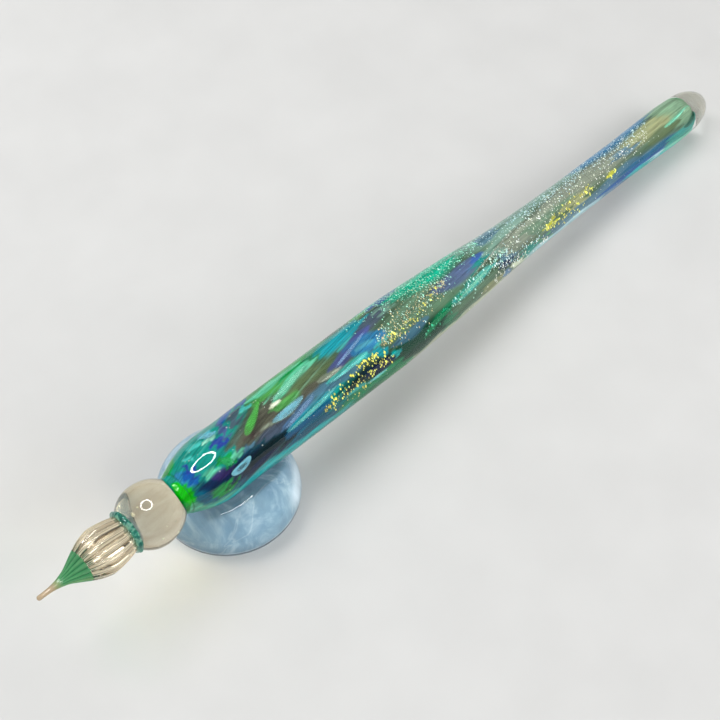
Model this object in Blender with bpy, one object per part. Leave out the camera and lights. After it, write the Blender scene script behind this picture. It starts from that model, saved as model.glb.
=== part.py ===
"""Glass dip pen lying on its glass pen rest, as the separate gathers of glass that it is fused from.

The pen's axis lies in the XZ plane, tip towards -X, and slopes down to the tail, which touches the
table at z = 0. The rest stands on the same table. Stations along the pen are given in millimetres
from the tip ("along"), and radii in millimetres from the pen's axis.
"""

import math

import bmesh
import bpy
from mathutils import Matrix, Vector

MM = 0.001
GAP = 0.3  # clearance kept between neighbouring gathers

# Pen
PEN_LENGTH = 165.0
PEN_TILT = math.radians(4.3)
REST_STATION = 37.5  # where the barrel lies in the rest's groove

# Nib: point, green cone and clear bulb share one outline
POINT_END = 3.1
CONE_END = 8.6
BULB_END = 16.6
NIB_OUTLINE = [(0.9, 0.42), (2.2, 0.46), (POINT_END, 0.55), (5.2, 1.08), (7.1, 2.05), (CONE_END, 2.88),
               (10.6, 3.76), (12.4, 4.14), (14.6, 3.88), (BULB_END, 3.4)]
FLUTES = 16
FLUTE_DEPTH = 0.1  # share of the radius
FLUTE_TWIST = math.radians(12)  # over the nib's length
POINTS_PER_FLUTE = 4

# Neck
COLLAR_FRONT, COLLAR_BACK, COLLAR_RADIUS = 16.9, 17.9, 4.1
BALL_STATION, BALL_RADIUS = 21.9, 5.56
BALL_FRONT, BALL_BACK = 18.2, 26.7
BALL_STRETCH = 1.133  # the ball is drawn out towards the barrel, behind its widest point

# Barrel
CASING_FRONT, CASING_BACK = 28.0, 158.0
BARREL_OUTLINE = [(CASING_FRONT, 4.15), (29.5, 4.7), (31.7, 5.48), (34.7, 6.02), (40, 5.88), (46, 6.0),
                  (60, 6.06), (76, 6.13), (84, 5.8), (94, 5.2), (104, 4.43), (112, 4.12), (124, 3.88),
                  (138, 3.88), (146, 4.03), (154, 4.2), (CASING_BACK, 3.98)]
BORE_SHARE = 0.74  # bore radius over outer radius
ROD_SHARE = 0.26  # core rod radius over outer radius
ROD_FRONT, ROD_BACK = 29.5, 157.2

# The coloured strips lie round the core rod in eight slots and twist together, tightest at the front
SLOTS = 8
TWIST_TOTAL, TWIST_LENGTH = 250.0, 60.0  # degrees, and the length over which the twist dies away
TWIST_START = 28.0
FIRST_SLOT = math.radians(117.8)  # slot 0's angle about the axis at the barrel's front
STRIP_TAPER = 7.0  # length over which a strip narrows to its end
STRIP_TIP_SHARE = 0.25  # a strip's width at its very end

TAIL_BUTTON_RADIUS = 3.93

# Pen rest: a flattened dome with a flat foot and a groove for the barrel
REST_RADIUS, REST_WAIST, REST_HEIGHT = 12.3, 3.2, 10.2
REST_FOOT_DEPTH, REST_FOOT_POWER = 3.7, 2.6
GROOVE_RADIUS = 9.0

# Glass colours: base colour, roughness
GLASS = {
    "clear": ((0.86, 0.92, 0.9), 0.03),
    "amber": ((0.85, 0.8, 0.66), 0.05),
    "green": ((0.05, 0.55, 0.24), 0.05),
    "teal": ((0.02, 0.45, 0.42), 0.05),
    "lime": ((0.16, 0.72, 0.22), 0.08),
    "emerald": ((0.0, 0.42, 0.24), 0.08),
    "turquoise": ((0.0, 0.5, 0.58), 0.08),
    "cobalt": ((0.02, 0.1, 0.62), 0.08),
    "navy": ((0.01, 0.06, 0.22), 0.08),
    "violet": ((0.2, 0.16, 0.5), 0.08),
    "opal": ((0.5, 0.74, 0.82), 0.2),
    "mint": ((0.5, 0.8, 0.68), 0.2),
    "khaki": ((0.5, 0.52, 0.36), 0.2),
    "gold": ((0.72, 0.66, 0.16), 0.25),
    "silver": ((0.62, 0.7, 0.68), 0.25),
    "smoke": ((0.4, 0.42, 0.38), 0.1),
}

# Strips: name, slot, front and back station, colour
STRIPS = [
    ("cobalt_front_strip", 0, 29.5, 47, "cobalt"),
    ("turquoise_belly_strip", 0, 48, 84, "turquoise"),
    ("violet_back_strip", 0, 85, 118, "violet"),
    ("khaki_back_strip", 0, 119, 157, "khaki"),
    ("lime_front_strip", 1, 29.5, 48, "lime"),
    ("mint_belly_strip", 1, 49, 72, "mint"),
    ("cobalt_back_strip", 1, 73, 112, "cobalt"),
    ("turquoise_tail_strip", 1, 113, 157, "turquoise"),
    ("navy_front_strip", 2, 29.5, 46, "navy"),
    ("opal_petal_strip", 2, 47, 58, "opal"),
    ("violet_belly_strip", 2, 59, 77, "violet"),
    ("teal_dichroic_strip", 2, 78, 112, "teal"),
    ("emerald_tail_strip", 2, 113, 157, "emerald"),
    ("turquoise_front_strip", 3, 29.5, 56, "turquoise"),
    ("gold_dichroic_strip", 3, 57, 70, "gold"),
    ("bronze_dichroic_strip", 3, 71, 86, "khaki"),
    ("violet_petal_strip", 3, 87, 99, "violet"),
    ("silver_side_strip", 3, 100, 157, "silver"),
    ("emerald_front_strip", 4, 29.5, 63, "emerald"),
    ("emerald_dichroic_strip", 4, 64, 88, "emerald"),
    ("silver_dichroic_strip", 4, 89, 128, "silver"),
    ("khaki_tail_strip", 4, 129, 157, "khaki"),
    ("opal_front_strip", 5, 29.5, 60, "opal"),
    ("cobalt_belly_strip", 5, 61, 88, "cobalt"),
    ("olive_middle_strip", 5, 89, 108, "khaki"),
    ("gold_tail_strip", 5, 109, 134, "gold"),
    ("silver_tail_strip", 5, 135, 157, "silver"),
    ("violet_front_strip", 6, 29.5, 62, "violet"),
    ("emerald_belly_strip", 6, 63, 104, "emerald"),
    ("cobalt_tail_strip", 6, 105, 157, "cobalt"),
    ("teal_front_strip", 7, 29.5, 66, "teal"),
    ("opal_belly_strip", 7, 67, 110, "opal"),
    ("mint_tail_strip", 7, 111, 157, "mint"),
]


def clear_scene():
    for obj in list(bpy.data.objects):
        bpy.data.objects.remove(obj)


def glass(colour_name):
    """The material of one glass colour, made once."""
    material = bpy.data.materials.get(colour_name)
    if material is None:
        colour, roughness = GLASS[colour_name]
        material = bpy.data.materials.new(colour_name)
        material.use_nodes = True
        shader = material.node_tree.nodes["Principled BSDF"]
        shader.inputs["Base Color"].default_value = (*colour, 1.0)
        shader.inputs["Roughness"].default_value = roughness
        shader.inputs["Metallic"].default_value = 0.0
    return material


def smooth_radius(outline, along):
    """Radius at one station, on a cubic curve through the outline's points that never overshoots them."""
    points = outline
    if along <= points[0][0]:
        return points[0][1]
    if along >= points[-1][0]:
        return points[-1][1]
    slopes = [(b[1] - a[1]) / (b[0] - a[0]) for a, b in zip(points, points[1:])]
    tangents = [slopes[0]]
    for before, after in zip(slopes, slopes[1:]):
        same_way = before * after > 0
        tangents.append(2 * before * after / (before + after) if same_way else 0.0)
    tangents.append(slopes[-1])
    i = max(k for k in range(len(slopes)) if points[k][0] <= along)
    (x0, r0), (x1, r1) = points[i], points[i + 1]
    span = x1 - x0
    t = (along - x0) / span
    return (r0 * (1 + 2 * t) * (1 - t) ** 2 + tangents[i] * span * t * (1 - t) ** 2
            + r1 * t * t * (3 - 2 * t) + tangents[i + 1] * span * t * t * (t - 1))


def barrel_radius(along):
    return smooth_radius(BARREL_OUTLINE, along)


def stations(front, back, step):
    """Evenly spaced stations from front to back, no further apart than step."""
    count = max(2, math.ceil((back - front) / step))
    return [front + (back - front) * i / count for i in range(count + 1)]


def arc(centre, radius, start, end, count):
    """(along, radius) points on a circle about a point of the outline's plane; angles in degrees."""
    angles = [math.radians(start + (end - start) * i / count) for i in range(count + 1)]
    return [(centre[0] + radius * math.cos(a), centre[1] + radius * math.sin(a)) for a in angles]


def twist(along):
    """Angle about the axis through which the strips have turned at a station. They wind left-handed."""
    return -math.radians(TWIST_TOTAL) * (1 - math.exp((TWIST_START - along) / TWIST_LENGTH))


def new_object(name, mesh, colour_name, parent):
    mesh.materials.append(glass(colour_name))
    obj = bpy.data.objects.new(name, mesh)
    bpy.context.scene.collection.objects.link(obj)
    obj.parent = parent
    return obj


def finished_mesh(name, bm):
    """Closes the bmesh: merges coincident points, faces outwards, shades smooth with sharp edges kept."""
    bmesh.ops.remove_doubles(bm, verts=bm.verts, dist=1e-7)
    bmesh.ops.recalc_face_normals(bm, faces=bm.faces)
    mesh = bpy.data.meshes.new(name)
    bm.to_mesh(mesh)
    bm.free()
    mesh.shade_smooth()
    mesh.set_sharp_from_angle(angle=math.radians(40))
    return mesh


def turned(name, outline, colour_name, parent, segments=28):
    """A solid turned about the pen's axis from an outline of (along, radius) points.

    An open outline starts and ends on the axis; a closed one, whose last point repeats the first, makes a ring.
    """
    bm = bmesh.new()
    verts = [bm.verts.new((along * MM, radius * MM, 0)) for along, radius in outline]
    edges = [bm.edges.new(pair) for pair in zip(verts, verts[1:])]
    bmesh.ops.spin(bm, geom=verts + edges, cent=(0, 0, 0), axis=(1, 0, 0), angle=2 * math.pi,
                   steps=segments, use_merge=True)
    return new_object(name, finished_mesh(name, bm), colour_name, parent)


def skinned(name, rings, colour_name, parent):
    """A solid over rings of equal point counts, closed with a face at each end."""
    bm = bmesh.new()
    loops = [[bm.verts.new(Vector(point) * MM) for point in ring] for ring in rings]
    for ring, following in zip(loops, loops[1:]):
        for i in range(len(ring)):
            j = (i + 1) % len(ring)
            bm.faces.new((ring[i], ring[j], following[j], following[i]))
    bm.faces.new(loops[0][::-1])
    bm.faces.new(loops[-1])
    return new_object(name, finished_mesh(name, bm), colour_name, parent)


def fluted_ring(along, radius, depth):
    """Points of one fluted cross-section: round lobes that meet in sharp valleys."""
    turn = FLUTE_TWIST * along / BULB_END
    count = FLUTES * POINTS_PER_FLUTE
    ring = []
    for i in range(count):
        angle = 2 * math.pi * i / count
        lobe = abs(math.cos(FLUTES * angle / 2))
        r = radius * (1 - depth + depth * lobe)
        ring.append((along, r * math.cos(angle + turn), r * math.sin(angle + turn)))
    return ring


def make_nib(pen):
    """The drawn-out point, the green fluted cone and the clear fluted bulb."""
    first = NIB_OUTLINE[0]
    rounding = arc((first[1], 0), first[1], 180, 90, 4)
    neck = [(x, smooth_radius(NIB_OUTLINE, x)) for x in stations(first[0], POINT_END - GAP / 2, 0.9)]
    turned("nib_point", rounding + neck + [(neck[-1][0], 0)], "amber", pen, segments=16)
    for name, front, back, step, colour_name in (
        ("nib_green_cone", POINT_END + GAP / 2, CONE_END - GAP / 2, 1.1, "green"),
        ("nib_fluted_bulb", CONE_END + GAP / 2, BULB_END, 1.1, "clear"),
    ):
        rings = []
        for along in stations(front, back, step):
            grown = min(1.0, along / CONE_END)
            rings.append(fluted_ring(along, smooth_radius(NIB_OUTLINE, along), FLUTE_DEPTH * grown))
        skinned(name, rings, colour_name, pen)


def make_neck(pen):
    """The teal bead round the neck, the clear ball and the green collar that plugs the casing's mouth."""
    middle = (COLLAR_FRONT + COLLAR_BACK) / 2
    half = (COLLAR_BACK - COLLAR_FRONT) / 2
    rings = []
    for angle in (-90, -55, -20, 20, 55, 90):
        across = math.radians(angle)
        along = middle + half * math.sin(across)
        radius = COLLAR_RADIUS - 0.75 * (1 - math.cos(across))
        rings.append(fluted_ring(along, radius, FLUTE_DEPTH / 2))
    skinned("neck_collar", rings, "teal", pen)

    front_angle = math.degrees(math.acos((BALL_FRONT - BALL_STATION) / BALL_RADIUS))
    back_angle = math.degrees(math.acos((BALL_BACK - BALL_STATION) / (BALL_RADIUS * BALL_STRETCH)))
    face = []
    for x, r in arc((BALL_STATION, 0), BALL_RADIUS, front_angle, back_angle, 14):
        behind = max(0.0, x - BALL_STATION)
        face.append((x + behind * (BALL_STRETCH - 1), r))
    turned("neck_ball", [(BALL_FRONT, 0)] + face + [(BALL_BACK, 0)], "clear", pen)

    flange_front, flange_back = BALL_BACK + GAP, CASING_FRONT - GAP
    plug_radius = BORE_SHARE * barrel_radius(CASING_FRONT) - GAP
    turned("barrel_collar", [
        (flange_front, 0), (flange_front, 3.55), (flange_front + 0.3, 3.75), (flange_back, 3.95),
        (flange_back, plug_radius), (28.6, plug_radius * 0.9), (29.1, plug_radius * 0.6), (29.1, 0),
    ], "green", pen)


def tail_dome(count=8):
    """Outline of the tail button's rounded end."""
    front = CASING_BACK + GAP
    dome = []
    for i in range(count):
        angle = math.radians(90 * i / count)
        dome.append((front + (PEN_LENGTH - front) * math.sin(angle), TAIL_BUTTON_RADIUS * math.cos(angle)))
    return dome + [(PEN_LENGTH, 0)]


def make_barrel(pen):
    """The clear casing, the rod up its middle and the clear end button."""
    outside = [(x, barrel_radius(x)) for x in stations(CASING_FRONT, 34, 1.2)]
    outside += [(x, barrel_radius(x)) for x in stations(34, CASING_BACK, 6.2)[1:]]
    bore = [(x, r * BORE_SHARE) for x, r in reversed(outside)]
    turned("barrel_casing", outside + bore + outside[:1], "clear", pen)

    rod = [(x, barrel_radius(x) * ROD_SHARE) for x in stations(ROD_FRONT, ROD_BACK, 8.0)]
    turned("core_rod", [(ROD_FRONT, 0)] + rod + [(ROD_BACK, 0)], "smoke", pen, segments=12)

    button_front = CASING_BACK + GAP
    spigot_radius = BORE_SHARE * barrel_radius(CASING_BACK) - GAP
    spigot = [(CASING_BACK - 0.5, 0), (CASING_BACK - 0.5, spigot_radius), (button_front, spigot_radius)]
    turned("tail_button", spigot + tail_dome(), "clear", pen)


def strip_ring(along, slot, width_share):
    """Cross-section of a strip: a sector between the core rod and the bore, clear of both neighbours."""
    radius = barrel_radius(along)
    inner = ROD_SHARE * radius + GAP
    outer = BORE_SHARE * radius - GAP
    middle = FIRST_SLOT + 2 * math.pi * slot / SLOTS + twist(along)
    ring = []
    for r, across in [(inner, -1), (inner, 0), (inner, 1), (outer, 1), (outer, 0.5), (outer, 0),
                      (outer, -0.5), (outer, -1)]:
        half = (math.pi / SLOTS - math.asin(GAP / 2 / r)) * width_share
        angle = middle + across * half
        ring.append((along, r * math.cos(angle), r * math.sin(angle)))
    return ring


def make_strips(pen):
    for name, slot, front, back, colour_name in STRIPS:
        rings = []
        for along in stations(front, back, 5.0):
            to_end = min(along - front, back - along)
            share = STRIP_TIP_SHARE + (1 - STRIP_TIP_SHARE) * min(1.0, to_end / STRIP_TAPER)
            rings.append(strip_ring(along, slot, share))
        skinned(name, rings, colour_name, pen)


def pen_placement():
    """Matrix that lays the pen down: tilted, touching the table near its tail, centred over the origin."""
    underside = [(x, barrel_radius(x)) for x in stations(CASING_FRONT, CASING_BACK, 0.5)] + tail_dome()
    tip_height = max(x * math.sin(PEN_TILT) + r * math.cos(PEN_TILT) for x, r in underside)
    tip = Vector((-PEN_LENGTH / 2 * math.cos(PEN_TILT), 0, tip_height)) * MM
    return Matrix.Translation(tip) @ Matrix.Rotation(PEN_TILT, 4, "Y")


def rest_foot_radius(height):
    """The rest's radius below its waist."""
    share = (REST_WAIST - height) / REST_FOOT_DEPTH
    return REST_RADIUS * (1 - share ** REST_FOOT_POWER) ** (1 / REST_FOOT_POWER)


def make_rest(rest, pen_matrix):
    """The dome of the rest, with the barrel's groove cut along it."""
    foot = [(h, rest_foot_radius(h)) for h in (0, 0.35, 0.9, 1.8)]
    dome = []
    for i in range(10):
        a = math.radians(10 * i)
        dome.append((REST_WAIST + (REST_HEIGHT - REST_WAIST) * math.sin(a), REST_RADIUS * math.cos(a)))
    body = turned("pen_rest", [(0, 0)] + foot + dome[:-1] + [(REST_HEIGHT, 0)], "opal", rest, segments=44)
    body.data.transform(Matrix.Rotation(-math.pi / 2, 4, "Y"))

    bottom = barrel_radius(REST_STATION) + GAP
    cutter_centre = pen_matrix @ (Vector((REST_STATION, 0, GROOVE_RADIUS - bottom)) * MM)
    bm = bmesh.new()
    bmesh.ops.create_cone(bm, cap_ends=True, segments=72, radius1=GROOVE_RADIUS * MM,
                          radius2=GROOVE_RADIUS * MM, depth=REST_RADIUS * 3 * MM,
                          matrix=Matrix.Rotation(math.pi / 2, 4, "Y"))
    mesh = bpy.data.meshes.new("groove_cutter")
    bm.to_mesh(mesh)
    bm.free()
    cutter = bpy.data.objects.new("groove_cutter", mesh)
    bpy.context.scene.collection.objects.link(cutter)
    cutter.matrix_world = Matrix.Translation(cutter_centre) @ Matrix.Rotation(PEN_TILT, 4, "Y")
    cutter.hide_render = True
    cutter.display_type = "WIRE"
    groove = body.modifiers.new("groove", "BOOLEAN")
    groove.operation = "DIFFERENCE"
    groove.solver = "EXACT"
    groove.object = cutter


def new_empty(name):
    empty = bpy.data.objects.new(name, None)
    bpy.context.scene.collection.objects.link(empty)
    return empty


def main():
    clear_scene()
    pen_matrix = pen_placement()
    pen = new_empty("pen")
    pen.matrix_world = pen_matrix
    make_nib(pen)
    make_neck(pen)
    make_barrel(pen)
    make_strips(pen)
    rest = new_empty("rest")
    rest.location.x = (pen_matrix @ (Vector((REST_STATION, 0, 0)) * MM)).x
    make_rest(rest, pen_matrix)


main()
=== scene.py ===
"""Looks of the glass dip pen on its opal glass rest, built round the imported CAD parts.

Lengths are in millimetres until a mesh is made. A station ("along") is a distance from the pen's tip along
its axis. An angle round the axis is given in degrees from UPPER_SIDE, positive towards -Y.
"""

import math

import bpy
import numpy as np
from mathutils import Matrix, Vector


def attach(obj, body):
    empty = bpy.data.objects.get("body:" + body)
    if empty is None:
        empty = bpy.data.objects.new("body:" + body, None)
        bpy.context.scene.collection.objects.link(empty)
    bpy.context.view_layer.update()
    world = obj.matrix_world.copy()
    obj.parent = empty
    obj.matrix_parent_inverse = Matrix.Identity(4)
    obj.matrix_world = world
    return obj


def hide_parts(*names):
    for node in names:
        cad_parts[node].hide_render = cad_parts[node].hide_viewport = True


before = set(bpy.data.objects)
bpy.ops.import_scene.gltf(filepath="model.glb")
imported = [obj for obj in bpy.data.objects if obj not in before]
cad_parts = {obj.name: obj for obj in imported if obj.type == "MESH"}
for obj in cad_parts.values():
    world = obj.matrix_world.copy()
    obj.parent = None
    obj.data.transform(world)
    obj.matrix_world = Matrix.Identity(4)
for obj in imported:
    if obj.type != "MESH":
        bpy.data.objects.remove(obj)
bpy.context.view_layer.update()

MM = 0.001

# ---- Sizes shared with the CAD parts ----
PEN_LENGTH = 165.0
PEN_TILT = math.radians(4.3)
REST_STATION = 37.5
POINT_END, CONE_END, BULB_END = 3.1, 8.6, 16.6
NIB_OUTLINE = [(0.9, 0.42), (2.2, 0.46), (POINT_END, 0.55), (5.2, 1.08), (7.1, 2.05), (CONE_END, 2.88),
               (10.6, 3.76), (12.4, 4.14), (14.6, 3.88), (BULB_END, 3.4)]
FLUTES, FLUTE_TWIST = 16, math.radians(12)
COLLAR_FRONT, COLLAR_BACK, COLLAR_RADIUS = 16.9, 17.9, 4.1
BALL_STATION, BALL_RADIUS, BALL_BACK = 21.9, 5.56, 26.7
BALL_STRETCH = 1.133  # the ball is drawn out towards the barrel, behind its widest point
CASING_FRONT, CASING_BACK = 28.0, 158.0
BARREL_OUTLINE = [(CASING_FRONT, 4.15), (29.5, 4.7), (31.7, 5.48), (34.7, 6.02), (40, 5.88), (46, 6.0),
                  (60, 6.06), (76, 6.13), (84, 5.8), (94, 5.2), (104, 4.43), (112, 4.12), (124, 3.88),
                  (138, 3.88), (146, 4.03), (154, 4.2), (CASING_BACK, 3.98)]
CORE_SHARE, ROD_SHARE = 0.735, 0.26
GLASS_IOR = 1.5
SEEN_SCALE = 1.09  # sideways position of a mark at 90 degrees, as a share of the radius
SEEN_LIMIT = 66.4  # the seen angle at the pen's outline
FAR_SHIFT = 9.0  # how far the pattern is moved along on the far side
TAIL_BUTTON_RADIUS = 3.93
REST_RADIUS, REST_WAIST, REST_HEIGHT = 12.3, 3.2, 10.2
REST_FOOT_DEPTH, REST_FOOT_POWER = 3.7, 2.6
REST_INSET = 0.8  # thickness of the rest's clear shell
GROOVE_RADIUS, GROOVE_LIP = 9.0, 0.35
GAP = 0.3  # between neighbouring CAD parts
# the glint is a painted reflection, whitened into the rest's milk
GLINT_ANGLE, GLINT_SPREAD = -43.0, 17.0  # the bright crescent at the rest's rim
SLOTS = 8
UPPER_SIDE = 117.8  # the side of the pen that faces up as it lies; slot 0 starts there
TWIST_TOTAL, TWIST_LENGTH = 250.0, 60.0

MOUTH = 26.75  # where the casing meets the ball
CORE_FRONT = 28.3  # the strips start here, behind the green collar
STRIPS_BACK = 158.6

# Strips of coloured glass in each slot round the core: name, front station. The first word of a name also
# picks its glass, but the words in KHAKI stand for khaki.
STRIPS = [
    [("cobalt_front", CORE_FRONT), ("turquoise_belly", 47.5), ("violet_back", 84.5), ("khaki_back", 118.5)],
    [("lime_front", CORE_FRONT), ("mint_belly", 48.5), ("cobalt_back", 72.5), ("turquoise_tail", 112.5)],
    [("navy_front", CORE_FRONT), ("opal_petal", 46.5), ("violet_belly", 58.5), ("teal_dichroic", 77.5),
     ("emerald_tail", 112.5)],
    [("turquoise_front", CORE_FRONT), ("gold_dichroic", 56.5), ("bronze_dichroic", 70.5),
     ("violet_petal", 86.5), ("silver_side", 99.5)],
    [("emerald_front", CORE_FRONT), ("emerald_dichroic", 63.5), ("silver_dichroic", 88.5),
     ("khaki_tail", 128.5)],
    [("opal_front", CORE_FRONT), ("cobalt_belly", 60.5), ("olive_middle", 88.5), ("gold_tail", 108.5),
     ("silver_tail", 134.5)],
    [("violet_front", CORE_FRONT), ("emerald_belly", 62.5), ("cobalt_tail", 104.5)],
    [("teal_front", CORE_FRONT), ("opal_belly", 66.5), ("mint_tail", 110.5)],
]
KHAKI = ("bronze", "olive")

# ---- Glass colours, as they look on screen (0 to 255) ----
COLOURS = {
    "smoke": (96, 94, 84), "smoke_green": (92, 112, 92), "olive": (102, 116, 88), "brown": (88, 76, 74),
    "mauve": (90, 98, 114), "violet": (88, 92, 142), "indigo": (56, 62, 150), "plum": (66, 52, 104),
    "periwinkle": (108, 138, 170), "navy": (4, 44, 82), "deep_teal": (0, 106, 130),
    "black_green": (0, 44, 50), "dark_green": (8, 78, 60), "cobalt": (12, 88, 156), "blue": (70, 130, 170),
    "slate": (96, 128, 146), "sky": (112, 170, 186), "teal": (58, 148, 138), "lagoon": (70, 160, 172),
    "turquoise": (22, 180, 180), "aqua": (108, 190, 184), "emerald": (4, 148, 106), "jade": (68, 182, 156),
    "green": (34, 150, 84), "lime": (66, 156, 62), "leaf": (106, 166, 104), "mint": (130, 200, 172),
    "pale_mint": (174, 220, 202), "grey_green": (112, 136, 116), "khaki": (162, 164, 128),
    "tan": (184, 168, 124), "silver": (140, 146, 132), "pewter": (134, 162, 150), "cream": (232, 236, 214),
    "gold": (208, 204, 92), "ice": (188, 218, 226), "sea": (76, 138, 108), "neon": (12, 186, 30),
    # cyan is only the painted glow along the pen's lower edge
    "celadon": (136, 164, 138), "dusk": (100, 112, 142), "deep_blue": (0, 96, 134), "cyan_edge_glow": (0, 204, 204),
    "vivid_green": (0, 158, 84), "dusk_blue": (66, 98, 158), "bright_gold": (252, 240, 96),
}

# Broad grounds of colour: colour, start (station, angle), end (station, angle), width in mm
GROUNDS = [
    # the undertone of the front: teal above, dark below
    ("teal", 22, -30, 44, -30, 7), ("deep_teal", 22, 36, 66, 38, 5),
    # the upper and lower edges as the pen lies; the cyan, cream and ice lines along the lower edge are
    # painted glow
    ("dark_green", 26, -60, 33, -62, 1.6), ("aqua", 33, -65, 38, -65, 0.8),
    ("cobalt", 38, -62, 47, -64, 1.3), ("green", 46, -61, 67, -64, 1.4), ("dark_green", 65, -64, 73, -65, 1),
    ("leaf", 70.5, -63, 79, -66, 1), ("cobalt", 76, -60, 83, -63, 1.1), ("jade", 80, -60, 102, -62, 1.6),
    ("pewter", 98, -60, 126, -60, 1.6), ("ice", 118, -64, 150, -64, 0.8), ("green", 149, -62, 161, -60, 1.2),
    ("mint", 26, 58, 33, 60, 1.4), ("cyan_edge_glow", 32, 60, 38, 61, 0.9), ("cyan_edge_glow", 37, 63, 64, 65, 0.9),
    ("vivid_green", 62, 61, 78, 63, 1.2), ("cream", 76, 63, 112, 64, 0.8), ("ice", 106, 62, 136, 63, 1),
    ("periwinkle", 131, 62, 141, 64, 0.9), ("cyan_edge_glow", 138, 61, 163, 62, 1.2),
    # the grounds between them, front to back
    ("teal", 27, -52, 46, -60, 3.4), ("smoke", 37, -5, 60, -12, 3.4), ("olive", 50, -22, 62, -18, 1.9),
    ("green", 44, -58, 66, -54, 2.6), ("navy", 30, 17, 46, 38, 2.6), ("black_green", 37, 33, 50, 31, 2.5),
    ("deep_teal", 45, 38, 62, 37, 2.3), ("turquoise", 38, 62, 63, 66, 1.1), ("sea", 58, -52, 66, -48, 2.2),
    ("lagoon", 61, -42, 73, -44, 2.2), ("dark_green", 64, -65, 72, -67, 1), ("teal", 54, 26, 63, 26, 2),
    ("black_green", 60, 31, 73, 34, 2.2), ("emerald", 58, 52, 74, 54, 1.9),
    ("dark_green", 71, 34, 87, 40, 2.6), ("grey_green", 70, 0, 89, -16, 2.6), ("jade", 77, -52, 96, -46, 3),
    ("grey_green", 80, 8, 96, 6, 1.9), ("grey_green", 85, 40, 100, 42, 2.6),
    ("pewter", 94, -48, 114, -44, 2.6), ("silver", 101, 6, 118, 0, 2.6), ("pewter", 112, -52, 130, -52, 1.8),
    ("silver", 114, -18, 145, -14, 2.3), ("grey_green", 108, 2, 124, 4, 0.9),
    ("slate", 112, 42, 136, 40, 1.2), ("blue", 127, -56, 152, -60, 1.9), ("slate", 126, 38, 152, 34, 1.2),
    ("khaki", 139, -22, 155, -12, 1.9), ("celadon", 150, -46, 162, -28, 2.8),
    ("celadon", 152, 0, 162, 6, 2.4), ("slate", 128, 36, 141, 24, 1.1),
]
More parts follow.
